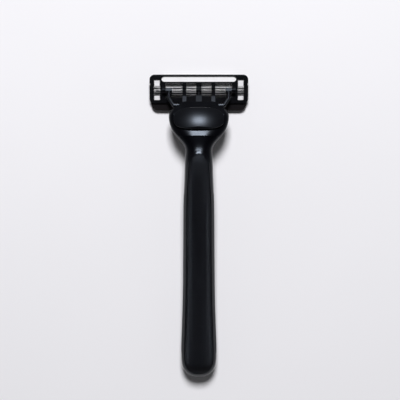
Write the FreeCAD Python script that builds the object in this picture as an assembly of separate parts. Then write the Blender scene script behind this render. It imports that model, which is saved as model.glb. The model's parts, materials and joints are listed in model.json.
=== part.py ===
import FreeCAD, Part
import math
import os

# Pivoting-cartridge razor lying on its front, blades down.
# X runs to the right, +Y runs along the handle towards the cartridge, +Z is up.
# The origin is under the middle of the object, on the surface that it rests on. Lengths are mm.

Vector = FreeCAD.Vector

# ---- driving dimensions ----
BUTT_Y = -66.0              # far end of the handle
BUTT_DROP = 1.9             # the rounded end turns down this much
NECK_Y = 33.5               # end of the narrow part of the handle
HEAD_WIDEST_Y = 47.0        # widest place of the collar round the button
HEAD_FRONT_Y = 53.5         # front edge of the visor
GRIP_SKIN = 0.9             # depth of the soft grips
FIT = 0.05                  # running clearance of pins in bores
CLEAR = 0.3                 # clearance of moving parts that don't guide each other

PIVOT_Y = 58.8              # cartridge pivot axis
PIVOT_Z = 6.0
HEAD_TILT = 18.0            # the head's axis dips this much towards the cartridge
CARTRIDGE_TILT = 8.0        # the cap stands this much higher than the guard at rest
PIVOT_RANGE = 40.0          # how far the cartridge tilts

# Sections of the handle: (y, half width, lowest z, highest z).
HANDLE_SECTIONS = [
    (-57.0, 7.62, 0.35, 12.0),
    (-50.0, 7.60, -0.30, 12.6),
    (-43.0, 7.35, 0.10, 12.95),
    (-30.0, 6.98, 1.0, 13.8),
    (-15.0, 6.80, 2.2, 14.9),
    (0.0, 6.70, 3.5, 16.1),
    (12.0, 6.55, 4.8, 17.1),
    (22.0, 6.15, 6.0, 17.6),
    (28.0, 5.98, 6.8, 17.3),
    (31.0, 5.80, 7.2, 16.85),
    (NECK_Y, 5.90, 7.6, 16.42),
    (36.0, 7.35, 8.0, 16.25),
    (38.8, 9.85, 8.2, 16.15),
    (41.5, 11.6, 8.0, 15.9),
    (44.2, 12.55, 7.4, 15.5),
    (HEAD_WIDEST_Y, 12.9, 6.7, 14.9),
]
# Sections of the head's upper shell. It slopes more, so its rear edge makes a crest across the neck.
COVER_SECTIONS = [
    (30.4, 5.80, 7.2, 18.76),
    (33.2, 5.90, 7.6, 17.98),
    (36.0, 7.35, 8.0, 17.2),
    (38.8, 9.85, 8.2, 16.42),
    (41.5, 11.6, 8.0, 15.70),
    (44.2, 12.55, 7.4, 15.25),
    (HEAD_WIDEST_Y, 12.9, 6.7, 14.9),
]
SECTION_POWER = 2.5         # squareness of the sections, 2 is an ellipse
PLAN_POWER = 2.2            # squareness of the rounded ends seen from above
EDGE_POWER = 3.0            # squareness of the head's front edge seen from the side
END_ANGLES = (22, 42, 60, 74, 84)  # where the rounded ends have sections, in degrees round the end

# Front grip, seen from above.
PANEL_TIP_Y = 32.0          # top of the arch
PANEL_ARCH_LENGTH = 7.3
PANEL_ARCH_HALF = 4.75
PANEL_END_Y = -64.3
PANEL_INSET = 1.0           # from the handle's outline
PANEL_RISE = 0.4            # how far the front grip stands above the handle's form
PANEL_BASE_Z = 13.1         # the panel lies above this height at y = 0, and above its slope elsewhere
PANEL_BASE_SLOPE = 0.062
BACK_GRIP_Y = (-56.0, 15.1)  # from near the butt to where the side grip starts
BACK_GRIP_RISE = 0.45       # how far up the handle's upper half the back grip reaches
WEIGHT_Y = (-46.0, 4.0)
WEIGHT_HALF_X = 2.6
WEIGHT_THICK = 3.4
WEIGHT_Z = 4.2              # underside of the bar at its rear end
WEIGHT_TILT = 3.2           # the bar rises with the handle

# Head, in its own frame: s runs along the head's axis from the pivot, t stands off it.
DECK_T = 3.6                # top face that the button slides on
DECK_UNDER_T = 2.6
SPLIT_T = 1.0               # parting plane of the head's two shells
COVER_REAR_S = -22.5
BUTTON_S = -15.0            # centre of the button
BUTTON_HALF_X = 10.85
BUTTON_HALF_S = 5.2
BUTTON_HEIGHT = 2.6
BUTTON_POWER = 2.6
BUTTON_RADIUS_X = 28.0      # curvature of the dome's top, across and along
BUTTON_RADIUS_S = 18.0
VISOR_S = -12.6             # ahead of here the deck slopes down further, out to the visor
VISOR_TILT = 6.0
BUTTON_TRAVEL = 2.2
STEM_S = (-17.3, -15.9)
STEM_HALF_X = 2.2
CHAMBER_HALF_X = 8.6
CHAMBER_S = (-18.0, -11.0)
CHAMBER_FLOOR_T = -1.0
MOUTH_S = -8.3              # front wall of the lower shell, where the yoke docks
NOSE_S = (-13.3, -3.0)
NOSE_HALF_X = 5.2
NOSE_T = (-1.0, 2.3)
NOSE_EAVES_T = 0.8          # the nose's top slopes down to here on both sides
NOSE_RIDGE_HALF_X = 1.25
SCREW_S = -12.1
SCREW_R = 0.8
SCREW_HEAD_R = 1.7
SCREW_CONE_T = (-3.0, -2.1) # the countersunk cone, from its wide end to its narrow end
SCREW_HEAD_THICK = 0.3
SCREW_END_T = 0.2
PRONG_X = 7.1
PRONG_R = 0.57
PRONG_TIP_S = -10.4
PRONG_SHOULDER_S = -14.8

# Plunger and the cam fin on the cartridge that it pushes.
CAM_R = 1.2                 # base circle, so the plunger moves 1.2 mm per radian
CAM_START = 1.6             # plunger face behind the pivot axis at rest
CAM_GAP = 0.02              # between the plunger's face and the fin
PLUNGER_R = 0.8
PLUNGER_BACK_S = -8.5
PLUNGER_BORE_S = -12.3
COIL_STEPS = 16             # facets of a spring's wire, along a turn
COIL_SIDES = 8              # and round the wire

# Yoke.
YOKE_HALF_X = 8.6
YOKE_S = (-8.0, -6.0)
YOKE_T = (-2.4, 1.9)
YOKE_EAVES_T = 0.5          # the block's cheeks slope down to here at their outer sides
YOKE_FLOOR_T = -1.3
ARM_R = 0.85                # the arms are round bars
ARM_BENDS = [(8.3, -7.1), (10.85, -7.1), (12.95, -3.8), (12.95, 0.0)]  # (x, s) from the block to the tip
TIP_X = (11.7, 14.1)        # the tip is a short roller on the pivot axis
TIP_R = 1.1
TIP_FLAT_T = 0.9            # the roller's top is flattened at this height
STUB_R = 0.68
STUB_END_X = 15.6

# Cartridge, in its own frame: u runs from the guard to the cap, v stands off its face.
# The frame's origin is the pivot.
CART_HALF_X = 21.5
CART_U = (-5.9, 6.62)
FACE_V = -4.8               # shaving plane
FRAME_FACE_V = -4.5
POCKET_FLOOR_V = -2.35
BACK_V = -1.45
SLOT_HALF_X = 16.25
SLOT_U = (3.55, 6.05)
BLADE_OPENING_X = 14.6
BLADE_OPENING_U = (-3.6, 2.9)
WINDOW_X = (16.85, 19.65)
WINDOW_U = (-4.35, 4.5)
SIDE_RIB_X = 6.3
SIDE_RIB_HALF = 0.8
CENTRE_RIB_HALF = 1.1
RIB_U = (-5.6, 3.4)
RIB_WEDGE_U = -2.6          # from here towards the guard the ribs rise
RIB_WEDGE_TILT = 21.0
GUARD_HALF_X = 20.7
GUARD_U = (-9.0, -4.4)
GUARD_SEAT_V = -3.3
GUARD_ROLL_V = -2.5
FIN_PITCH = 0.68
FIN_COUNT = 6
LUG_X = (14.4, 15.9)
LUG_R = 1.4
BLADE_COUNT = 5
BLADE_PITCH = 1.15
BLADE_HALF_X = 20.1
BLADE_ANGLE = 22.0
BLADE_WIDTH = 1.05
BLADE_THICK = 0.1
BLADE_GRIND = 0.35          # width of the ground edge
SUPPORT_START = 0.42        # the support starts this far behind the edge
SUPPORT_THICK = 0.28
CLIP_X = (17.1, 19.4)
CLIP_THICK = 0.2
CLIP_FRONT_FOLD = 1.8       # length of the folded leg at the guard
CLIP_REAR_FOLD = 3.0        # length of the folded leg at the cap


# ---- helpers ----
def box(x0, x1, y0, y1, z0, z1):
    return Part.makeBox(x1 - x0, y1 - y0, z1 - z0, Vector(x0, y0, z0))


def bar(x, half_x, y_range, z_range):
    return box(x - half_x, x + half_x, y_range[0], y_range[1], z_range[0], z_range[1])


def rod(radius, start, end):
    axis = end - start
    return Part.makeCylinder(radius, axis.Length, start, axis)


def prism(points, direction):
    wire = Part.makePolygon(points + [points[0]])
    return Part.Face(wire).extrude(direction)


def side_prism(points, x0, x1):
    """Extrudes a profile given as (y, z) points from x0 to x1."""
    profile = [Vector(x0, y, z) for y, z in points]
    return prism(profile, Vector(x1 - x0, 0, 0))


def upright_edges(shape):
    return [e for e in shape.Edges if abs(e.Vertexes[0].Z - e.Vertexes[-1].Z) > 1e-6]


def rounded_plate(half_x, y_range, z_range, radius):
    plate = bar(0, half_x, y_range, z_range)
    return plate.makeFillet(radius, upright_edges(plate))


def rim_edges(shape, z):
    return [e for e in shape.Edges if all(abs(v.Z - z) < 1e-6 for v in e.Vertexes)]


def mirrored(shape):
    return shape.mirror(Vector(0, 0, 0), Vector(1, 0, 0))


def both_sides(shape):
    return shape.fuse(mirrored(shape))


def head_placed(shape):
    placed = shape.copy()
    placed.rotate(Vector(0, 0, 0), Vector(1, 0, 0), -HEAD_TILT)
    placed.translate(Vector(0, PIVOT_Y, PIVOT_Z))
    return placed


def cartridge_placed(shape):
    placed = shape.copy()
    placed.rotate(Vector(0, 0, 0), Vector(1, 0, 0), CARTRIDGE_TILT)
    placed.translate(Vector(0, PIVOT_Y, PIVOT_Z))
    return placed


def end_rounding(along, power):
    """How wide a rounded end still is at a fraction along it, from 1 down to 0."""
    return (1.0 - along ** power) ** (1.0 / power)


def superellipse(half_a, half_b, power, count=24):
    points = []
    for step in range(count):
        angle = 2.0 * math.pi * step / count
        c = math.cos(angle)
        s = math.sin(angle)
        a = math.copysign(abs(c) ** (2.0 / power), c) * half_a
        b = math.copysign(abs(s) ** (2.0 / power), s) * half_b
        points.append((a, b))
    return points


def closed_curve(points):
    curve = Part.BSplineCurve()
    curve.interpolate(Points=points, PeriodicFlag=True)
    return Part.Wire([curve.toShape()])


def coil(radius, wire_radius, turns, start_s, end_s, x, t):
    """A compression spring along the head's axis, as a faceted wire."""
    length = end_s - start_s - 2.0 * wire_radius
    steps = int(turns * COIL_STEPS)
    sections = []
    for step in range(steps + 1):
        angle = 2.0 * math.pi * step / COIL_STEPS
        out = Vector(math.cos(angle), 0, math.sin(angle))
        centre = Vector(x, start_s + wire_radius + length * step / steps, t) + out * radius
        ring = []
        for corner in range(COIL_SIDES):
            turn = 2.0 * math.pi * corner / COIL_SIDES
            along = Vector(0, wire_radius * math.sin(turn), 0)
            ring.append(centre + out * wire_radius * math.cos(turn) + along)
        sections.append(Part.makePolygon(ring + [ring[0]]))
    return head_placed(Part.makeLoft(sections, True, True))


# ---- handle ----
def butt_sections(inset):
    """(y, half width, lowest z, highest z) round the butt."""
    first = HANDLE_SECTIONS[0]
    butt_length = first[0] - BUTT_Y - inset
    middle = 0.5 * (first[2] + first[3])
    half_height = 0.5 * (first[3] - first[2])
    sections = []
    for degrees in reversed(END_ANGLES):
        along = math.sin(math.radians(degrees))
        size = end_rounding(along, PLAN_POWER)
        y = first[0] - butt_length * along
        centre = middle - BUTT_DROP * along ** 3
        sections.append((y, first[1] * size, centre - half_height * size, centre + half_height * size))
    return sections


def front_sections():
    """(y, half width, lowest z, highest z) round the head's front."""
    last = HANDLE_SECTIONS[-1]
    half_height = 0.5 * (last[3] - last[2])
    sections = []
    for degrees in END_ANGLES:
        along = math.sin(math.radians(degrees))
        width = end_rounding(along, PLAN_POWER)
        height = half_height * end_rounding(along, EDGE_POWER)
        y = last[0] + (HEAD_FRONT_Y - last[0]) * along
        middle = 0.5 * (last[2] + last[3]) - along
        sections.append((y, last[1] * width, middle - height, middle + height))
    return sections


def loft(sections, inset=0.0):
    wires = []
    for y, half_width, low, high in sections:
        middle = 0.5 * (low + high)
        outline = superellipse(half_width - inset, 0.5 * (high - low) - inset, SECTION_POWER)
        wires.append(closed_curve([Vector(x, y, middle + z) for x, z in outline]))
    return Part.makeLoft(wires, True, False)


def handle_loft(inset):
    """The whole handle's form, shrunk all round by the inset."""
    return loft(butt_sections(inset) + HANDLE_SECTIONS + front_sections(), inset)


def cover_loft():
    """The form of the head's upper shell."""
    return loft(COVER_SECTIONS + front_sections())


def handle_size(y, column):
    """A handle section's half width, lowest z or highest z, in between its listed sections."""
    for low, high in zip(HANDLE_SECTIONS, HANDLE_SECTIONS[1:]):
        if low[0] <= y <= high[0]:
            part = (y - low[0]) / (high[0] - low[0])
            return low[column] + part * (high[column] - low[column])
    raise ValueError("outside the handle's sections")


def panel_prism():
    """The front grip's outline as a tall prism."""
    arch_base_y = PANEL_TIP_Y - PANEL_ARCH_LENGTH
    right = []
    for degrees in range(0, 90, 15):
        angle = math.radians(degrees)
        x = PANEL_ARCH_HALF * math.sin(angle)
        right.append((x, arch_base_y + PANEL_ARCH_LENGTH * math.cos(angle)))
    right.append((PANEL_ARCH_HALF, arch_base_y))
    for y in (12.0, 0.0, -15.0, -30.0, -43.0, -50.0):
        right.append((handle_size(y, 1) - PANEL_INSET, y))
    end_start_y = HANDLE_SECTIONS[0][0]
    end_half = HANDLE_SECTIONS[0][1] - PANEL_INSET
    end_length = end_start_y - PANEL_END_Y
    for degrees in (0, 20, 40, 60, 75, 90):
        along = math.sin(math.radians(degrees))
        right.append((end_half * end_rounding(along, PLAN_POWER), end_start_y - end_length * along))
    left = [(-x, y) for x, y in reversed(right[1:-1])]
    outline = closed_curve([Vector(x, y, PANEL_BASE_Z + PANEL_BASE_SLOPE * y) for x, y in right + left])
    return Part.Face(outline).extrude(Vector(0, 0, 20))


def back_grip_zone():
    """The sides and back of the handle, up to a line a little above its widest place."""
    top = []
    for y in (BACK_GRIP_Y[0], -50.0, -30.0, -15.0, 0.0, BACK_GRIP_Y[1]):
        low = handle_size(y, 2)
        high = handle_size(y, 3)
        top.append(Vector(-20, y, 0.5 * (low + high) + BACK_GRIP_RISE * 0.5 * (high - low)))
    line = Part.BSplineCurve()
    line.interpolate(Points=top)
    corners = [top[-1], Vector(-20, BACK_GRIP_Y[1], -5), Vector(-20, BACK_GRIP_Y[0], -5), top[0]]
    outline = Part.Wire([line.toShape()] + Part.makePolygon(corners).Edges)
    zone = Part.Face(outline).extrude(Vector(40, 0, 0))
    ends = [e for e in zone.Edges if abs(e.Length - 40) < 1e-6 and e.Vertexes[0].Z > 0]
    return zone.makeFillet(2.5, ends)


def above_floor(shape):
    return shape.cut(box(-30, 30, -90, 90, -10, 0))


def grips(outer):
    """The front grip as a raised pad, and the back grip as a flush skin."""
    inside = handle_loft(GRIP_SKIN)
    pad = handle_loft(-PANEL_RISE).common(panel_prism())
    back = outer.cut(inside).common(back_grip_zone())
    return pad.cut(inside), back


def largest_solid(shape):
    return max(shape.Solids, key=lambda solid: solid.Volume)


def weight_bar():
    block = rounded_plate(WEIGHT_HALF_X, WEIGHT_Y, (0, WEIGHT_THICK), 0.6)
    block.rotate(Vector(0, WEIGHT_Y[0], 0), Vector(1, 0, 0), WEIGHT_TILT)
    block.translate(Vector(0, 0, WEIGHT_Z))
    return block


# ---- head ----
def chamber():
    """The room under the deck for the ejector and its springs."""
    return bar(0, CHAMBER_HALF_X, CHAMBER_S, (CHAMBER_FLOOR_T, DECK_UNDER_T))


def nose_blank():
    """A tongue with a roof-shaped top."""
    right = [(NOSE_HALF_X, NOSE_T[0]), (NOSE_HALF_X, NOSE_EAVES_T), (NOSE_RIDGE_HALF_X, NOSE_T[1])]
    left = [(-x, t) for x, t in reversed(right)]
    profile = [Vector(x, NOSE_S[0], t) for x, t in right + left]
    return prism(profile, Vector(0, NOSE_S[1] - NOSE_S[0], 0))


def mouth():
    """The space under the visor that the yoke docks in."""
    return box(-20, 20, MOUTH_S, 10, -20, DECK_UNDER_T)


def button_outline(t, size, grow=0.0):
    outline = superellipse(BUTTON_HALF_X * size + grow, BUTTON_HALF_S * size + grow, BUTTON_POWER)
    return closed_curve([Vector(x, BUTTON_S + s, t) for x, s in outline])


def button_recess():
    """The button's outline, carried forward by its travel."""
    gap = Part.Face(button_outline(DECK_T, 1.0, CLEAR)).extrude(Vector(0, 0, 12))
    pressed = gap.copy()
    pressed.translate(Vector(0, BUTTON_TRAVEL, 0))
    between = bar(0, BUTTON_HALF_X + CLEAR, (BUTTON_S, BUTTON_S + BUTTON_TRAVEL), (DECK_T, DECK_T + 12))
    return gap.fuse([pressed, between])


def visor_slope():
    """What is taken off the deck ahead of the button."""
    front_s = 6.0
    front_t = DECK_T - (front_s - VISOR_S) * math.tan(math.radians(VISOR_TILT))
    return side_prism([(VISOR_S, DECK_T), (VISOR_S, 12), (front_s, 12), (front_s, front_t)], -20, 20)


def stem_slot():
    travel = (STEM_S[0] - CLEAR, STEM_S[1] + BUTTON_TRAVEL + CLEAR)
    return bar(0, STEM_HALF_X + CLEAR, travel, (DECK_UNDER_T - 0.1, DECK_T + 0.1))


def screw():
    """Countersunk screw from under the head up into the nose."""
    wide = Vector(0, SCREW_S, SCREW_CONE_T[0])
    cone_length = SCREW_CONE_T[1] - SCREW_CONE_T[0]
    shank = rod(SCREW_R, wide, Vector(0, SCREW_S, SCREW_END_T))
    cone = Part.makeCone(SCREW_HEAD_R, SCREW_R, cone_length, wide, Vector(0, 0, 1))
    head = rod(SCREW_HEAD_R, wide - Vector(0, 0, SCREW_HEAD_THICK), wide)
    return shank.fuse([cone, head])


def cover_region():
    return head_placed(box(-20, 20, COVER_REAR_S, 10, SPLIT_T, 20))


def head_cover():
    cover = cover_loft().common(cover_region())
    tools = [chamber(), mouth(), button_recess(), visor_slope(), stem_slot(), nose_blank()]
    for tool in tools:
        cover = cover.cut(head_placed(tool))
    return largest_solid(cover)


def docking_nose():
    nose = nose_blank()
    tip = [e for e in nose.Edges if all(abs(v.Y - NOSE_S[1]) < 1e-6 for v in e.Vertexes)]
    nose = nose.makeChamfer(0.5, tip)
    bore = rod(PLUNGER_R + FIT, Vector(0, PLUNGER_BORE_S, CAM_R), Vector(0, 0, CAM_R))
    return head_placed(nose.cut(bore).cut(screw()))


def handle_core(outer, front, back, bar_solid):
    core = outer.cut(front).cut(back).cut(cover_region())
    hole_start = Vector(PRONG_X, CHAMBER_S[1] - 1, 0)
    hole_end = Vector(PRONG_X, MOUTH_S + 1, 0)
    prong_hole = rod(PRONG_R + FIT, hole_start, hole_end)
    tools = [chamber(), mouth(), nose_blank(), both_sides(prong_hole), screw()]
    for tool in tools:
        core = core.cut(head_placed(tool))
    core = core.cut(bar_solid)
    return largest_solid(core)


def barrel(top_t):
    """A barrel lying along the head, curved both ways, whose top is over the button's centre."""
    half = 9.0
    sagitta = BUTTON_RADIUS_S - math.sqrt(BUTTON_RADIUS_S ** 2 - half ** 2)
    axis_t = top_t - BUTTON_RADIUS_X
    rear = Vector(0, BUTTON_S - half, top_t - sagitta)
    front = Vector(0, BUTTON_S + half, top_t - sagitta)
    arc = Part.Arc(rear, Vector(0, BUTTON_S, top_t), front).toShape()
    ends = [front, Vector(0, front.y, axis_t), Vector(0, rear.y, axis_t), rear]
    profile = Part.Face(Part.Wire([arc] + Part.makePolygon(ends).Edges))
    return profile.revolve(Vector(0, 0, axis_t), Vector(0, 1, 0), 360)


def release_button():
    base_t = DECK_T + 0.25
    skirt_height = 0.5
    wires = []
    for degrees in (0, 12, 25, 38, 50, 62, 72, 80):
        angle = math.radians(degrees)
        size = math.cos(angle) ** 0.55
        t = base_t + skirt_height + (BUTTON_HEIGHT - skirt_height + 0.1) * math.sin(angle)
        wires.append(button_outline(t, size))
    skirt = Part.Face(button_outline(base_t, 1.0)).extrude(Vector(0, 0, skirt_height))
    dome = Part.makeLoft(wires, True, False).fuse(skirt).common(barrel(base_t + BUTTON_HEIGHT))
    stem = bar(0, STEM_HALF_X, STEM_S, (0.8, base_t + 0.4))
    return head_placed(dome.fuse(stem).removeSplitter())


def ejector():
    bridge_s = (STEM_S[0] - 0.1, STEM_S[1] + 0.1)
    bridge = bar(0, PRONG_X + 1.0, bridge_s, (-0.7, 0.8))
    prong = box(PRONG_X - 1.0, PRONG_X + 1.0, bridge_s[0], PRONG_SHOULDER_S, -0.7, 0.8)
    pin = rod(PRONG_R, Vector(PRONG_X, PRONG_SHOULDER_S, 0), Vector(PRONG_X, PRONG_TIP_S, 0))
    fork = bridge.fuse([both_sides(prong), both_sides(pin)])
    return head_placed(fork.removeSplitter())


def plunger():
    pin = rod(PLUNGER_R, Vector(0, PLUNGER_BACK_S, CAM_R), Vector(0, -CAM_START, CAM_R))
    return head_placed(pin)


# ---- yoke ----
def arm():
    """One side arm: a bent round bar from the docking block out to the tip with the pivot stub."""
    bends = [Vector(x, s, 0) for x, s in ARM_BENDS]
    tip = rod(TIP_R, Vector(TIP_X[0], 0, 0), Vector(TIP_X[1], 0, 0))
    tip = tip.cut(box(TIP_X[0] - 1, TIP_X[1] + 1, -TIP_R, TIP_R, TIP_FLAT_T, TIP_R + 1))
    stub = rod(STUB_R, Vector(TIP_X[1] - 0.2, 0, 0), Vector(STUB_END_X, 0, 0))
    parts = [tip, stub]
    for start, end in zip(bends, bends[1:]):
        parts.append(rod(ARM_R, start, end))
    for bend in bends[1:-1]:
        parts.append(Part.makeSphere(ARM_R, bend))
    return parts[0].fuse(parts[1:])


def yoke():
    """The docking block, open at the top for the nose, with its two arms."""
    pocket_half = NOSE_HALF_X + 0.15
    right = [(YOKE_HALF_X, YOKE_T[0]), (YOKE_HALF_X, YOKE_EAVES_T), (pocket_half, YOKE_T[1])]
    left = [(-x, t) for x, t in reversed(right)]
    profile = [Vector(x, YOKE_S[0], t) for x, t in right + left]
    block = prism(profile, Vector(0, YOKE_S[1] - YOKE_S[0], 0))
    pocket = bar(0, pocket_half, (YOKE_S[0] - 1, YOKE_S[1] + 1), (YOKE_FLOOR_T, YOKE_T[1] + 1))
    docking = block.cut(pocket)
    solid = docking.fuse([arm(), mirrored(arm())])
    return head_placed(solid.removeSplitter())


# ---- cartridge ----
def cam_fin():
    """Involute fin that the plunger's flat face rolls on, so the plunger moves in step with the tilt.

    Its other side runs down into the centre rib.
    """
    profile = []
    for degrees in range(-6, int(PIVOT_RANGE) + 6, 4):
        angle = math.radians(degrees)
        s = CAM_GAP - (CAM_START + CAM_R * angle)
        t = CAM_R
        c = math.cos(-angle)
        d = math.sin(-angle)
        profile.append((s * c - t * d, s * d + t * c))
    profile += [(0.2, 2.9), (1.6, 0.0), (2.2, -1.4), (-1.3, -2.6), (-1.45, 0.6)]
    return head_placed(side_prism(profile, -CENTRE_RIB_HALF + 0.2, CENTRE_RIB_HALF - 0.2))


def stadium(half_x, y_range, z_range):
    radius = 0.499 * (y_range[1] - y_range[0])
    return rounded_plate(half_x, y_range, z_range, radius)


def back_rib(x, half):
    """A rib across the blade opening, level over the blades and rising towards the guard."""
    top = BACK_V + 0.1
    profile = [
        (RIB_U[1], POCKET_FLOOR_V),
        (RIB_U[1], top),
        (RIB_WEDGE_U, top),
        (RIB_U[0], top + (RIB_WEDGE_U - RIB_U[0]) * math.tan(math.radians(RIB_WEDGE_TILT))),
        (RIB_U[0], POCKET_FLOOR_V),
    ]
    return side_prism(profile, x - half, x + half)


def cartridge_frame():
    frame = rounded_plate(CART_HALF_X, CART_U, (FRAME_FACE_V, BACK_V), 2.1)
    frame = frame.makeFillet(0.45, rim_edges(frame, BACK_V))
    through = (-10, 10)
    frame = frame.cut(stadium(SLOT_HALF_X, SLOT_U, through))
    frame = frame.cut(bar(0, BLADE_OPENING_X, BLADE_OPENING_U, through))
    pocket = bar(0, BLADE_HALF_X + 0.2, (BLADE_OPENING_U[0], 3.1), (-10, POCKET_FLOOR_V))
    frame = frame.cut(pocket)
    window = box(WINDOW_X[0], WINDOW_X[1], WINDOW_U[0], WINDOW_U[1], -10, 10)
    window = window.makeFillet(0.2, upright_edges(window))
    frame = frame.cut(both_sides(window))
    frame = frame.cut(box(-30, 30, CART_U[0] - 1, GUARD_U[1], -10, GUARD_SEAT_V))
    side_notch = box(CART_HALF_X - 0.3, CART_HALF_X + 1, 2.0, 2.8, -10, 10)
    frame = frame.cut(both_sides(side_notch))
    side_ribs = [back_rib(x, SIDE_RIB_HALF) for x in (-SIDE_RIB_X, SIDE_RIB_X)]
    centre_rib = back_rib(0, CENTRE_RIB_HALF)
    lug = box(LUG_X[0], LUG_X[1], -LUG_R, LUG_R, BACK_V - 0.3, 0)
    lug = lug.fuse(rod(LUG_R, Vector(LUG_X[0], 0, 0), Vector(LUG_X[1], 0, 0)))
    frame = frame.fuse(side_ribs + [centre_rib, both_sides(lug)])
    bore = rod(STUB_R + FIT, Vector(-30, 0, 0), Vector(30, 0, 0))
    frame = cartridge_placed(frame.cut(bore))
    return frame.fuse(cam_fin()).removeSplitter()


def lubricating_strip():
    strip = stadium(SLOT_HALF_X, SLOT_U, (FACE_V - 0.05, BACK_V - 0.7))
    return cartridge_placed(strip)


def guard_fins():
    pad = rounded_plate(GUARD_HALF_X, GUARD_U, (FACE_V, GUARD_SEAT_V), 1.2)
    roll = rounded_plate(GUARD_HALF_X, (GUARD_U[0], CART_U[0]), (FACE_V, GUARD_ROLL_V), 1.2)
    guard = pad.fuse(roll)
    corner = Part.makeCylinder(3.0, 10, Vector(GUARD_HALF_X - 3.0, GUARD_U[0] + 3.0, -8))
    outside = box(GUARD_HALF_X - 3.0, GUARD_HALF_X + 1, GUARD_U[0] - 1, GUARD_U[0] + 3.0, -8, 0)
    guard = guard.cut(both_sides(outside.cut(corner)))
    for fin in range(FIN_COUNT):
        u = GUARD_U[0] + 0.75 + fin * FIN_PITCH
        guard = guard.cut(bar(0, GUARD_HALF_X - 1.6, (u, u + 0.36), (FACE_V - 1, FACE_V + 0.55)))
    return cartridge_placed(guard.removeSplitter())


def blade_and_support(u):
    """One thin blade welded on its bent support, both running the cartridge's width."""
    c = math.cos(math.radians(BLADE_ANGLE))
    s = math.sin(math.radians(BLADE_ANGLE))

    def on_blade(along, off):
        return (u - 0.55 + along * c - off * s, FACE_V + 0.05 + along * s + off * c)

    heel = on_blade(BLADE_WIDTH, BLADE_THICK)
    profile = [on_blade(0, 0), on_blade(BLADE_WIDTH, 0), heel, on_blade(BLADE_GRIND, BLADE_THICK)]
    blade = side_prism(profile, -BLADE_HALF_X, BLADE_HALF_X)
    elbow = on_blade(BLADE_WIDTH, BLADE_THICK + SUPPORT_THICK)
    leg_u = elbow[0] - SUPPORT_THICK
    profile = [
        on_blade(SUPPORT_START, BLADE_THICK),
        heel,
        elbow,
        (elbow[0], POCKET_FLOOR_V),
        (leg_u, POCKET_FLOOR_V),
        (leg_u, elbow[1] - SUPPORT_THICK * s),
        on_blade(SUPPORT_START, BLADE_THICK + SUPPORT_THICK),
    ]
    support = side_prism(profile, -BLADE_HALF_X, BLADE_HALF_X)
    return cartridge_placed(blade), cartridge_placed(support)


def retaining_clip():
    """Aluminium clip over the blade ends, with its two legs folded over in the end window."""
    low = WINDOW_U[0]
    high = WINDOW_U[1]
    strap_v = FACE_V - 0.2
    fold_v = POCKET_FLOOR_V + 0.1
    parts = [
        (low, high, strap_v, strap_v + CLIP_THICK),
        (low, low + CLIP_THICK, strap_v, fold_v + CLIP_THICK),
        (high - CLIP_THICK, high, strap_v, fold_v + CLIP_THICK),
        (low, low + CLIP_FRONT_FOLD, fold_v, fold_v + CLIP_THICK),
        (high - CLIP_REAR_FOLD, high, fold_v, fold_v + CLIP_THICK),
    ]
    pieces = [box(CLIP_X[0], CLIP_X[1], u0, u1, v0, v1) for u0, u1, v0, v1 in parts]
    return pieces[0].fuse(pieces[1:]).removeSplitter()


# ---- assembly ----
def build():
    outer = above_floor(handle_loft(0.0))
    front, back = grips(outer)
    weight = weight_bar()
    nodes = {
        "front_grip": front,
        "back_grip": back,
        "head_cover": head_cover(),
        "weight_bar": weight,
        "handle_core": handle_core(outer, front, back, weight),
        "docking_nose": docking_nose(),
        "nose_screw": head_placed(screw()),
        "release_button": release_button(),
        "ejector": ejector(),
        "plunger": plunger(),
        "plunger_spring": coil(0.58, 0.12, 6, PLUNGER_BORE_S, PLUNGER_BACK_S, 0, CAM_R),
        "button_spring_right": coil(0.8, 0.13, 4, PRONG_SHOULDER_S, CHAMBER_S[1], PRONG_X, 0),
        "button_spring_left": coil(0.8, 0.13, 4, PRONG_SHOULDER_S, CHAMBER_S[1], -PRONG_X, 0),
        "yoke": yoke(),
        "cartridge_frame": cartridge_frame(),
        "lubricating_strip": lubricating_strip(),
        "guard_fins": guard_fins(),
    }
    first_u = 0.5 * (BLADE_COUNT - 1) * BLADE_PITCH
    for number in range(BLADE_COUNT):
        blade, support = blade_and_support(0.05 + first_u - number * BLADE_PITCH)
        nodes["blade_%d" % (number + 1)] = blade
        nodes["blade_support_%d" % (number + 1)] = support
    clip = retaining_clip()
    nodes["retaining_clip_right"] = cartridge_placed(clip)
    nodes["retaining_clip_left"] = cartridge_placed(mirrored(clip))
    return nodes


def main():
    os.makedirs("parts", exist_ok=True)
    nodes = build()
    whole = FreeCAD.BoundBox()
    for name, shape in sorted(nodes.items()):
        shape.exportStep("parts/%s.step" % name)
        whole.add(shape.BoundBox)
        print(name, "solids", len(shape.Solids), "valid", shape.isValid(), "volume", round(shape.Volume, 3))
    print("box", whole)


main()
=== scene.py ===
import json
import math

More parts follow.
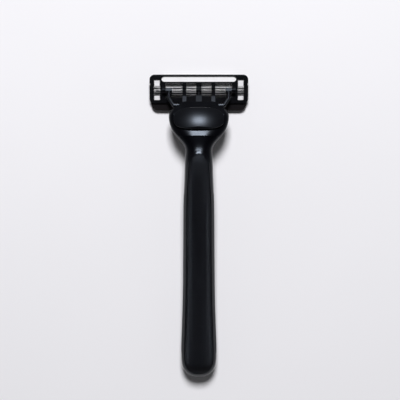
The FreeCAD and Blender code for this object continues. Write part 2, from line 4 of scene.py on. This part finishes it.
import bpy
import numpy as np
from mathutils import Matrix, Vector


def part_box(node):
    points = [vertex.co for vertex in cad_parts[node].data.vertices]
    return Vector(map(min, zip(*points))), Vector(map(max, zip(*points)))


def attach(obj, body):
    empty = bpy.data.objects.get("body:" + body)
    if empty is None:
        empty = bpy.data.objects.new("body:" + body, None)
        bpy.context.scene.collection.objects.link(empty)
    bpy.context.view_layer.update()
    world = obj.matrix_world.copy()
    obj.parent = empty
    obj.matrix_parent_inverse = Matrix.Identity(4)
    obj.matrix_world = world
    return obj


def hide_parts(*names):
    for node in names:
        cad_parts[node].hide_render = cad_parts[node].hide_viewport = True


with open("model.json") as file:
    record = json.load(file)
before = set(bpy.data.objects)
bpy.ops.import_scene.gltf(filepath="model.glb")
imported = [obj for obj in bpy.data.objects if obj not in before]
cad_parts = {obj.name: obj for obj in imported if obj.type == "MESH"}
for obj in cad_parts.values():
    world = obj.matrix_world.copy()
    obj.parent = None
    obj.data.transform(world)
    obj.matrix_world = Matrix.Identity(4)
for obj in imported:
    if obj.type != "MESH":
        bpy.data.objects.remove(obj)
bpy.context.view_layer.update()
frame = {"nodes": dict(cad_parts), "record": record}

MM = 0.001
NODES = frame["nodes"]

# ---- camera, light and floor ----
FRAME_WIDTH = 172.6 * MM        # what the camera sees, side to side, at the handle's mid height
HANDLE_TOP = 9.0 * MM
CAMERA_AHEAD = 11.1 * MM        # the view's centre, towards the cartridge
CAMERA_ASIDE = 0.5 * MM
LENS_MM = 100.0
SENSOR_MM = 36.0
KEY_TILT = 31.0                 # the softbox's angle from straight above, towards the cartridge
KEY_DISTANCE = 1.1
KEY_SIZE = 0.30
KEY_POWER = 14.0
WORLD_STRENGTH = 0.36
STUDIO_TINT = (0.968, 0.960, 1.0)
FLOOR_REACH = 2.0               # the floor runs this far each way

# ---- looks shared by several materials ----
COOL_SHINE = (0.76, 0.87, 1.0, 1.0)  # the black parts' highlights are slightly blue
BLACK = ((0.0011, 0.0011, 0.0016), (0.0020, 0.0020, 0.0028))
WORN_BLACK = ((0.0022, 0.0021, 0.0026), (0.0038, 0.0036, 0.0043))
BROWN_BLACK = ((0.0050, 0.0038, 0.0037), (0.0080, 0.0062, 0.0060))
GRIP_BLACK = ((0.0014, 0.0013, 0.0019), (0.0026, 0.0024, 0.0034))
SUPPORTS_PAINTED_LIT = (2, 3, 4)       # the middle supports get a lighter steel as painted light; the outer two keep the darker steel as painted shade under the frame's rims

# ---- knurl of the soft grips ----
KNURL_PITCH = 1.38 * MM         # diamond to diamond, along and across
KNURL_HEIGHT = 0.22 * MM
GRIP_DEPTH = 0.8 * MM
BEVEL_DROP = 0.115 * MM         # the grip's smooth border slopes down this much
BEVEL_SIDE = 0.45 * MM          # the border's width along the sides
BEVEL_TIP = 1.7 * MM            # and at the tip of the arch
BEVEL_TIP_LENGTH = 5.0 * MM     # it widens over this length
GROOVE_STEEPNESS = 1.9          # above 1, the diamonds have flat tops
FURROW = 0.22 * MM              # half width of the furrow between the border and the knurl
REACH = 2.5 * MM                # how far from the border its distance matters
FRONT_STEP = KNURL_PITCH / 9.0  # mesh spacings, so that the mesh meets every groove
BACK_STEP = KNURL_PITCH / 6.0
CLOSING = 3                     # the last steps before each end are divided into closer rows
END_ROWS = 12
BORDER = 0.9 * MM               # columns leave the knurl's grid this far from the edge
BORDER_PARTS = 6
EDGE_SHARE = 0.985              # sections are measured out to this share of their half width
FRONT_CENTRE_DEPTH = 9.0 * MM   # the grips' faces point away from a line this deep inside
BACK_CENTRE_DEPTH = 3.0 * MM
LINE_SAMPLES = 400
TOP_BAND = 0.02 * MM            # how far below its top a back grip section still counts as its top
SWEEP_SHARE = 0.9998            # a back grip section is scanned to just short of its two edges
SMOOTHING = 6
INNER_COLUMNS = 9


# ---- node material helpers ----
def new_material(name):
    material = bpy.data.materials.new(name)
    material.use_nodes = True
    tree = material.node_tree
    shader = tree.nodes["Principled BSDF"]
    return material, tree, shader


def link(tree, a, b):
    tree.links.new(a, b)


def noise(tree, scale, detail=4.0, roughness=0.55):
    coords = tree.nodes.new("ShaderNodeTexCoord")
    texture = tree.nodes.new("ShaderNodeTexNoise")
    texture.inputs["Scale"].default_value = scale
    texture.inputs["Detail"].default_value = detail
    texture.inputs["Roughness"].default_value = roughness
    link(tree, coords.outputs["Object"], texture.inputs["Vector"])
    return texture.outputs["Fac"]


def ramp(tree, value, stops):
    node = tree.nodes.new("ShaderNodeValToRGB")
    elements = node.color_ramp.elements
    for spare in range(len(stops) - 2):
        elements.new(0.5)
    for element, (place, colour) in zip(elements, stops):
        element.position = place
        element.color = (colour[0], colour[1], colour[2], 1.0)
    link(tree, value, node.inputs["Fac"])
    return node.outputs["Color"]


def grey(value):
    return (value, value, value)


def spread(tree, value, low, high, from_low=0.3, from_high=0.7):
    node = tree.nodes.new("ShaderNodeMapRange")
    node.inputs["From Min"].default_value = from_low
    node.inputs["From Max"].default_value = from_high
    node.inputs["To Min"].default_value = low
    node.inputs["To Max"].default_value = high
    link(tree, value, node.inputs["Value"])
    return node.outputs["Result"]


def combine(tree, operation, a, b):
    node = tree.nodes.new("ShaderNodeMath")
    node.operation = operation
    node.use_clamp = True
    for socket, value in ((node.inputs[0], a), (node.inputs[1], b)):
        if isinstance(value, (int, float)):
            socket.default_value = value
        else:
            link(tree, value, socket)
    return node.outputs[0]


def mix_colours(tree, factor, a, b):
    node = tree.nodes.new("ShaderNodeMix")
    node.data_type = "RGBA"
    link(tree, factor, node.inputs["Factor"])
    for socket, value in ((node.inputs["A"], a), (node.inputs["B"], b)):
        if isinstance(value, tuple):
            socket.default_value = (value[0], value[1], value[2], 1.0)
        else:
            link(tree, value, socket)
    return node.outputs["Result"]


def worn_edges(tree, reach, strength):
    """How exposed an edge is: 0 on flats and in hollows, up to strength on outer edges."""
    bevel = tree.nodes.new("ShaderNodeBevel")
    bevel.samples = 4
    bevel.inputs["Radius"].default_value = reach
    geometry = tree.nodes.new("ShaderNodeNewGeometry")
    dot = tree.nodes.new("ShaderNodeVectorMath")
    dot.operation = "DOT_PRODUCT"
    link(tree, bevel.outputs["Normal"], dot.inputs[0])
    link(tree, geometry.outputs["Normal"], dot.inputs[1])
    edge = spread(tree, dot.outputs["Value"], strength, 0.0, 0.80, 0.995)
    return edge


def bump(tree, shader, heights):
    """Chains (height, distance) pairs into the shader's normal."""
    normal = None
    for height, distance in heights:
        node = tree.nodes.new("ShaderNodeBump")
        node.inputs["Strength"].default_value = 1.0
        node.inputs["Distance"].default_value = distance
        link(tree, height, node.inputs["Height"])
        if normal is not None:
            link(tree, normal, node.inputs["Normal"])
        normal = node.outputs["Normal"]
    link(tree, normal, shader.inputs["Normal"])


# ---- materials ----
def moulded_plastic(name, dark, light, rough_low, rough_high, grain_bump, shine):
    """Black moulded plastic: faint mottling, fine spark-eroded grain, edges polished by handling."""
    material, tree, shader = new_material(name)
    cloud = noise(tree, 90.0, 5.0)
    grain = noise(tree, 4200.0, 2.0)
    smudge = noise(tree, 260.0, 6.0, 0.65)
    edge = worn_edges(tree, 0.25 * MM, 1.0)
    base = ramp(tree, cloud, [(0.35, dark), (0.7, light)])
    lifted = tuple(min(1.0, c * 1.8 + 0.001) for c in light)
    link(tree, mix_colours(tree, edge, base, lifted), shader.inputs["Base Color"])
    rough = spread(tree, smudge, rough_low, rough_high)
    polished = combine(tree, "SUBTRACT", rough, combine(tree, "MULTIPLY", edge, 0.08))
    link(tree, polished, shader.inputs["Roughness"])
    shader.inputs["Specular IOR Level"].default_value = shine
    shader.inputs["Specular Tint"].default_value = COOL_SHINE
    bump(tree, shader, [(grain, grain_bump), (cloud, 0.01 * MM)])
    return material


def rubber(name, dark, light, rough, shine):
    """Soft overmoulded rubber: matt, with a dusty bloom and skin-oil patches."""
    material, tree, shader = new_material(name)
    cloud = noise(tree, 140.0, 6.0, 0.6)
    fine = noise(tree, 5200.0, 2.0)
    patches = noise(tree, 45.0, 3.0)
    edge = worn_edges(tree, 0.12 * MM, 1.0)
    base = ramp(tree, cloud, [(0.3, dark), (0.72, light)])
    lifted = tuple(min(1.0, c * 1.5 + 0.0005) for c in light)
    link(tree, mix_colours(tree, edge, base, lifted), shader.inputs["Base Color"])
    link(tree, spread(tree, patches, rough - 0.03, rough + 0.03), shader.inputs["Roughness"])
    shader.inputs["Specular IOR Level"].default_value = shine
    shader.inputs["Specular Tint"].default_value = COOL_SHINE
    bump(tree, shader, [(fine, 0.004 * MM)])
    return material


def brushed_metal(name, dark, light, rough_low, rough_high, stretch):
    """Rolled or ground metal with fine lines along X."""
    material, tree, shader = new_material(name)
    coords = tree.nodes.new("ShaderNodeTexCoord")
    mapping = tree.nodes.new("ShaderNodeMapping")
    mapping.inputs["Scale"].default_value = stretch
    lines = tree.nodes.new("ShaderNodeTexNoise")
    lines.inputs["Scale"].default_value = 1.0
    lines.inputs["Detail"].default_value = 3.0
    link(tree, coords.outputs["Object"], mapping.inputs["Vector"])
    link(tree, mapping.outputs["Vector"], lines.inputs["Vector"])
    cloud = noise(tree, 160.0, 4.0)
    link(tree, ramp(tree, cloud, [(0.3, dark), (0.7, light)]), shader.inputs["Base Color"])
    link(tree, spread(tree, lines.outputs["Fac"], rough_low, rough_high), shader.inputs["Roughness"])
    shader.inputs["Metallic"].default_value = 1.0
    bump(tree, shader, [(lines.outputs["Fac"], 0.003 * MM)])
    return material


def coated_steel(name, dark, light, edge_brightness, rough_low, rough_high):
    """Steel in the given dark and light tones, with bright sheared edges."""
    material, tree, shader = new_material(name)
    cloud = noise(tree, 300.0, 4.0)
    fine = noise(tree, 3000.0, 2.0)
    edge = worn_edges(tree, 0.11 * MM, 1.0)
    base = ramp(tree, cloud, [(0.3, dark), (0.7, light)])
    link(tree, mix_colours(tree, edge, base, grey(edge_brightness)), shader.inputs["Base Color"])
    link(tree, spread(tree, cloud, rough_low, rough_high), shader.inputs["Roughness"])
    shader.inputs["Metallic"].default_value = 1.0
    bump(tree, shader, [(fine, 0.002 * MM)])
    return material


def white_strip():
    """Water-soluble strip: chalky white with a faint waxy mottling."""
    material, tree, shader = new_material("strip_white")
    cloud = noise(tree, 420.0, 6.0, 0.6)
    fine = noise(tree, 3000.0, 3.0)
    chalk = ramp(tree, cloud, [(0.3, (0.86, 0.86, 0.85)), (0.7, (0.93, 0.93, 0.925))])
    link(tree, chalk, shader.inputs["Base Color"])
    link(tree, spread(tree, cloud, 0.38, 0.5), shader.inputs["Roughness"])
    shader.inputs["Subsurface Weight"].default_value = 0.1
    shader.inputs["Subsurface Radius"].default_value = (0.001, 0.001, 0.001)
    bump(tree, shader, [(fine, 0.006 * MM)])
    return material


def studio_white():
    material, tree, shader = new_material("floor_white")
    cloud = noise(tree, 6.0, 4.0)
    link(tree, ramp(tree, cloud, [(0.3, grey(0.80)), (0.7, grey(0.82))]), shader.inputs["Base Color"])
    shader.inputs["Roughness"].default_value = 0.9
    shader.inputs["Specular IOR Level"].default_value = 0.1
    return material


def paint(node, material):
    data = NODES[node].data
    data.materials.clear()
    data.materials.append(material)


# ---- meshes made from the CAD skins ----
def mesh_object(name, vertices, polygons, smooth=True):
    data = bpy.data.meshes.new(name)
    data.from_pydata([tuple(v) for v in vertices], [], polygons)
    data.update()
    data.polygons.foreach_set("use_smooth", [smooth] * len(data.polygons))
    piece = bpy.data.objects.new(name, data)
    bpy.context.scene.collection.objects.link(piece)
    return piece


def triangles(node):
    data = NODES[node].data
    data.calc_loop_triangles()
    points = np.array([v.co for v in data.vertices], float)
    faces = np.array([t.vertices for t in data.loop_triangles], int)
    return points[faces]


def slice_segments(faces, y):
    """Where the triangles cross the plane at y, as segments between (x, z) points."""
    side = faces[:, :, 1] - y
    crossing = (side.min(1) < 0) & (side.max(1) >= 0)
    corners = faces[crossing]
    side = side[crossing]
    following = np.roll(side, -1, axis=1)
    cut = (side < 0) != (following < 0)
    part = side / np.where(cut, side - following, 1.0)
    points = corners + part[:, :, None] * (np.roll(corners, -1, axis=1) - corners)
    return points[cut].reshape(-1, 2, 3)[:, :, (0, 2)]


def filled(values):
    """Replaces places where nothing was hit by what is between their neighbours."""
    places = np.arange(len(values))
    hit = np.isfinite(values)
    return np.interp(places, places[hit], values[hit])


def highest(segments, xs):
    """The section's top line: the highest z at each x."""
    a = segments[:, 0]
    b = segments[:, 1]
    run = b[:, 0] - a[:, 0]
    run = np.where(np.abs(run) < 1e-12, 1e-12, run)
    part = (xs[None, :] - a[:, 0, None]) / run[:, None]
    z = a[:, 1, None] + part * (b[:, 1] - a[:, 1])[:, None]
    z = np.where((part >= 0) & (part <= 1), z, -np.inf)
    return filled(z.max(0))


def farthest(segments, centre_z, angles):
    """The section's outer line: the distance from the centre at each angle, from straight down."""
    centre = np.array((0.0, centre_z))
    a = segments[:, 0] - centre
    edge = segments[:, 1] - segments[:, 0]
    direction = np.stack((np.sin(angles), -np.cos(angles)), 1)
    cross = direction[None, :, 0] * edge[:, None, 1] - direction[None, :, 1] * edge[:, None, 0]
    cross = np.where(np.abs(cross) < 1e-15, 1e-15, cross)
    distance = (a[:, 0] * edge[:, 1] - a[:, 1] * edge[:, 0])[:, None] / cross
    along = (a[:, None, 0] * direction[None, :, 1] - a[:, None, 1] * direction[None, :, 0]) / cross
    distance = np.where((along >= 0) & (along <= 1), distance, -np.inf)
    return filled(distance.max(0))


def with_edges(xs, values, half):
    """Extends a sampled line straight on to both edges, where the side walls would mislead it."""
    slope_low = (values[1] - values[0]) / (xs[1] - xs[0])
    slope_high = (values[-1] - values[-2]) / (xs[-1] - xs[-2])
    low = values[0] - slope_low * (xs[0] + half)
    high = values[-1] + slope_high * (half - xs[-1])
    return np.concatenate(([low], values, [high]))


def front_line(segments):
    """Points along a front grip section's outer side, from its left edge to its right edge."""
    half = 0.5 * (segments[:, :, 0].max() - segments[:, :, 0].min())
    xs = half * np.sin(np.linspace(-0.5, 0.5, LINE_SAMPLES) * math.pi)
    inner = xs[np.abs(xs) < EDGE_SHARE * half]
    edge = np.array([half])
    heights = with_edges(inner, highest(segments, inner), half)
    return np.stack((np.concatenate((-edge, inner, edge)), heights), 1)


def back_line(segments):
    """Points along a back grip section's outer side, from its right edge round to its left."""
    top = segments[:, :, 1].max()
    at_top = segments[segments[:, :, 1] > top - TOP_BAND]
    half = at_top[:, 0].max()
    centre_z = top - BACK_CENTRE_DEPTH
    reach = math.pi - math.atan2(half, top - centre_z)
    angles = np.linspace(reach, -reach, LINE_SAMPLES) * SWEEP_SHARE
    distance = farthest(segments, centre_z, angles)
    return np.stack((distance * np.sin(angles), centre_z - distance * np.cos(angles)), 1)


def evened(lines):
    """Smooths away the CAD mesh's facets, from row to row and along each row."""
    for _ in range(SMOOTHING):
        lines[1:-1] = 0.5 * lines[1:-1] + 0.25 * (lines[:-2] + lines[2:])
        lines[:, 1:-1] = 0.5 * lines[:, 1:-1] + 0.25 * (lines[:, :-2] + lines[:, 2:])
    return lines


def row_places(low, high, step):
    """Places along the grip on the knurl's grid, closing up towards the rounded ends."""
    first = math.ceil(low / step) + CLOSING
    last = math.floor(high / step) - CLOSING
    even = step * np.arange(first, last + 1)
    share = (np.arange(1, END_ROWS) / END_ROWS) ** 2
    start = low + share * (even[0] - low)
    end = high - share[::-1] * (high - even[-1])
    return np.concatenate((start, even, end))


def column_places(half_length, count, step):
    """Places across the grip on the knurl's grid, closing up towards the edge."""
    kept = int(max(0.0, half_length - BORDER) / step)
    even = step * np.arange(kept)
    rest = np.linspace(kept * step, half_length, count - kept)
    right = np.concatenate((even, rest))
    return np.concatenate((-right[:0:-1], right))


def border_distance(flat):
    """Distance of each grid point from the grip's border, on the grip unrolled flat."""
    border = np.concatenate((flat[0], flat[:, -1], flat[-1, ::-1], flat[::-1, 0]))
    parts = np.linspace(0.0, 1.0, BORDER_PARTS, endpoint=False)[:, None, None]
    following = np.roll(border, -1, axis=0)
    border = (border + parts * (following - border)).reshape(-1, 2)
    result = np.empty(flat.shape[:2])
    for row in range(flat.shape[0]):
        near = border[np.abs(border[:, 1] - flat[row, 0, 1]) < REACH]
        gaps = flat[row][:, None, :] - near[None, :, :]
        result[row] = np.sqrt((gaps ** 2).sum(2)).min(1)
    return result


def diamonds(flat):
    """Height of a diamond knurl, 0 in its grooves and 1 on its flat tops."""
    first = (flat[:, :, 0] + flat[:, :, 1]) / KNURL_PITCH
    second = (flat[:, :, 0] - flat[:, :, 1]) / KNURL_PITCH
    ridge_one = 1.0 - np.abs(2.0 * (first - np.floor(first)) - 1.0)
    ridge_two = 1.0 - np.abs(2.0 * (second - np.floor(second)) - 1.0)
    height = np.minimum(1.0, GROOVE_STEEPNESS * np.minimum(ridge_one, ridge_two))
    return height * height * (3.0 - 2.0 * height)


def walked(line):
    """How far along the line each of its points is."""
    steps = np.linalg.norm(np.diff(line, axis=0), axis=1)
    return np.concatenate(([0.0], np.cumsum(steps)))


def bevel_width(flat, tip_width):
    """Width of the smooth border, widening towards the grip's upper end."""
    near_tip = np.clip(1.0 - (flat[:, :, 1].max() - flat[:, :, 1]) / BEVEL_TIP_LENGTH, 0.0, 1.0)
    return BEVEL_SIDE + (tip_width - BEVEL_SIDE) * near_tip ** 1.5


def knurled_grip(name, node, line_of, centre_depth, tip_width, step):
    """A closed soft grip with a diamond knurl and a bevelled border, shaped on the CAD skin."""
    faces = triangles(node)
    low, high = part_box(node)
    places = row_places(low.y, high.y, step)
    share = np.linspace(0.0, 1.0, LINE_SAMPLES)
    lines = np.empty((len(places), LINE_SAMPLES, 2))
    for row, y in enumerate(places):
        line = line_of(slice_segments(faces, y))
        length = walked(line)
        for axis in (0, 1):
            lines[row, :, axis] = np.interp(share * length[-1], length, line[:, axis])
    lines = evened(lines)
    lengths = [walked(line) for line in lines]
    count = int(0.5 * max(length[-1] for length in lengths) / step) + 2
    grid = np.empty((len(places), 2 * count - 1, 3))
    flat = np.empty((len(places), 2 * count - 1, 2))
    for row, (y, line, length) in enumerate(zip(places, lines, lengths)):
        across = column_places(0.5 * length[-1], count, step)
        at = across + 0.5 * length[-1]
        grid[row, :, 0] = np.interp(at, length, line[:, 0])
        grid[row, :, 1] = y
        grid[row, :, 2] = np.interp(at, length, line[:, 1])
        flat[row, :, 0] = across
        flat[row, :, 1] = y
    outward = grid.copy()
    outward[:, :, 1] = 0.0
    outward[:, :, 2] -= grid[:, :, 2].max(1)[:, None] - centre_depth
    outward /= np.linalg.norm(outward, axis=2, keepdims=True)
    gap = border_distance(flat)
    width = bevel_width(flat, tip_width)
    drop = BEVEL_DROP * np.clip(1.0 - gap / width, 0.0, 1.0)
    past = gap - width
    furrow = np.clip(1.0 - np.abs(past - FURROW) / FURROW, 0.0, 1.0)
    texture = np.where(past > FURROW, 1.0 - diamonds(flat), 0.0)
    drop += KNURL_HEIGHT * np.maximum(furrow, texture)
    outer = grid - outward * drop[:, :, None]
    picks = np.linspace(0, 2 * count - 2, INNER_COLUMNS).round().astype(int)
    inner = (grid - outward * GRIP_DEPTH)[:, picks]
    return closed_skin(name, outer, inner, drop.ravel())


def split(a, b, c, d, drop):
    """Two triangles for a four-cornered cell, split along its more level diagonal."""
    if abs(drop[a] - drop[c]) <= abs(drop[b] - drop[d]):
        return (a, b, c), (a, c, d)
    return (a, b, d), (b, c, d)


def closed_skin(name, outer, inner, drop):
    """Joins an outer grid and a coarser inner grid, with the same rows, into one closed mesh."""
    rows, columns = outer.shape[:2]
    inner_columns = inner.shape[1]
    first_inner = rows * columns
    polygons = []
    for row in range(rows - 1):
        base = row * columns
        for column in range(columns - 1):
            a = base + column
            polygons.extend(split(a, a + 1, a + 1 + columns, a + columns, drop))
        base = first_inner + row * inner_columns
        for column in range(inner_columns - 1):
            a = base + column
            polygons.append((a, a + inner_columns, a + 1 + inner_columns, a + 1))
        left = row * columns
        left_in = first_inner + row * inner_columns
        polygons.append((left, left + columns, left_in + inner_columns, left_in))
        right = left + columns - 1
        right_in = left_in + inner_columns - 1
        polygons.append((right, right_in, right_in + inner_columns, right + columns))
    start_row = list(range(columns))
    start_inner = [first_inner + k for k in range(inner_columns)]
    polygons.append(start_row[::-1] + start_inner)
    end_row = [(rows - 1) * columns + k for k in range(columns)]
    end_inner = [first_inner + (rows - 1) * inner_columns + k for k in range(inner_columns)]
    polygons.append(end_row + end_inner[::-1])
    vertices = np.concatenate((outer.reshape(-1, 3), inner.reshape(-1, 3)))
    return mesh_object(name, vertices, polygons)


# ---- the studio ----
def camera_and_lights():
    camera_data = bpy.data.cameras.new("camera")
    camera_data.lens = LENS_MM
    camera_data.sensor_width = SENSOR_MM
    camera_data.clip_start = 0.01
    camera = bpy.data.objects.new("camera", camera_data)
    distance = FRAME_WIDTH * LENS_MM / SENSOR_MM
    camera.location = (CAMERA_ASIDE, CAMERA_AHEAD, HANDLE_TOP + distance)
    bpy.context.scene.collection.objects.link(camera)
    bpy.context.scene.camera = camera

    key_data = bpy.data.lights.new("softbox", "AREA")
    key_data.shape = "SQUARE"
    key_data.size = KEY_SIZE
    key_data.energy = KEY_POWER
    key_data.color = STUDIO_TINT
    key = bpy.data.objects.new("softbox", key_data)
    tilt = math.radians(KEY_TILT)
    key.location = (0.0, KEY_DISTANCE * math.sin(tilt), KEY_DISTANCE * math.cos(tilt))
    key.rotation_euler = (-tilt, 0.0, 0.0)
    bpy.context.scene.collection.objects.link(key)


def studio_world():
    """A dim zenith and a bright horizon, so that the black plastic stays black from above."""
    world = bpy.data.worlds.new("studio")
    world.use_nodes = True
    tree = world.node_tree
    background = tree.nodes["Background"]
    coords = tree.nodes.new("ShaderNodeTexCoord")
    direction = tree.nodes.new("ShaderNodeSeparateXYZ")
    link(tree, coords.outputs["Generated"], direction.inputs["Vector"])
    sky = ramp(tree, direction.outputs["Z"], [(0.1, STUDIO_TINT), (0.8, grey(0.03))])
    link(tree, sky, background.inputs["Color"])
    background.inputs["Strength"].default_value = WORLD_STRENGTH
    bpy.context.scene.world = world


def studio_floor():
    signs = ((-1, -1), (1, -1), (1, 1), (-1, 1))
    corners = [(x * FLOOR_REACH, y * FLOOR_REACH, 0.0) for x, y in signs]
    floor = mesh_object("studio_floor", corners, [(0, 1, 2, 3)])
    floor.data.materials.append(studio_white())


def slot_materials():
    """A material for each material slot of the record."""
    cartridge = moulded_plastic("cartridge_plastic", *WORN_BLACK, 0.38, 0.44, 0.003 * MM, 0.08)
    zinc = brushed_metal(
        "zinc_plated_steel", grey(0.45), grey(0.56), 0.3, 0.45, (60.0, 3000.0, 3000.0)
    )
    return {
        "handle_plastic": moulded_plastic("handle_plastic", *BLACK, 0.17, 0.21, 0.002 * MM, 0.16),
        "button_plastic": moulded_plastic("button_plastic", *BLACK, 0.29, 0.32, 0.0015 * MM, 0.25),
        "nose_plastic": cartridge,
        "cartridge_plastic": cartridge,
        "grip_rubber": rubber("grip_rubber", *GRIP_BLACK, 0.17, 0.19),
        "guard_rubber": rubber("guard_rubber", *BROWN_BLACK, 0.45, 0.12),
        "strip_white": white_strip(),
        "blade_steel": brushed_metal(
            "blade_steel", grey(0.10), grey(0.16), 0.22, 0.34, (40.0, 4000.0, 4000.0)
        ),
        "support_steel": coated_steel("support_steel", grey(0.03), grey(0.06), 0.95, 0.42, 0.52),
        "clip_aluminium": brushed_metal(
            "clip_aluminium", grey(0.90), grey(0.96), 0.45, 0.58, (300.0, 3000.0, 3000.0)
        ),
        "spring_steel": brushed_metal(
            "spring_steel", grey(0.5), grey(0.6), 0.25, 0.4, (400.0, 400.0, 400.0)
        ),
        "screw_steel": zinc,
        "weight_steel": zinc,
    }


def paint_nodes(materials):
    """Paints every CAD node by its slot; the yoke is more polished, and the middle supports get a
    lighter steel as painted light, the outer two keeping the darker one as painted shade.
    """
    for part in frame["record"]["subparts"]:
        paint(part["node"], materials[part["material_slot"]])
    paint("yoke", moulded_plastic("polished_nose_plastic", *BLACK, 0.22, 0.26, 0.0015 * MM, 0.26))
    # painted light and shade: a lit copy of the support steel for the middle supports, while the
    # outer ones keep the dark copy as painted shade
    lit_copy_steel = coated_steel("painted_lit_support_steel", grey(0.50), grey(0.62), 0.95, 0.30, 0.40)
    for number in SUPPORTS_PAINTED_LIT:
        paint(f"blade_support_{number}", lit_copy_steel)


def main():
    bpy.context.scene.view_settings.view_transform = "Standard"
    studio_world()
    camera_and_lights()
    studio_floor()

    materials = slot_materials()
    paint_nodes(materials)

    front = knurled_grip(
        "front_grip_knurled", "front_grip", front_line, FRONT_CENTRE_DEPTH, BEVEL_TIP, FRONT_STEP
    )
    back = knurled_grip(
        "back_grip_knurled", "back_grip", back_line, BACK_CENTRE_DEPTH, BEVEL_SIDE, BACK_STEP
    )
    for piece, node in ((front, "front_grip"), (back, "back_grip")):
        piece.data.materials.append(materials["grip_rubber"])
        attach(piece, "handle")
        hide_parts(node)


main()
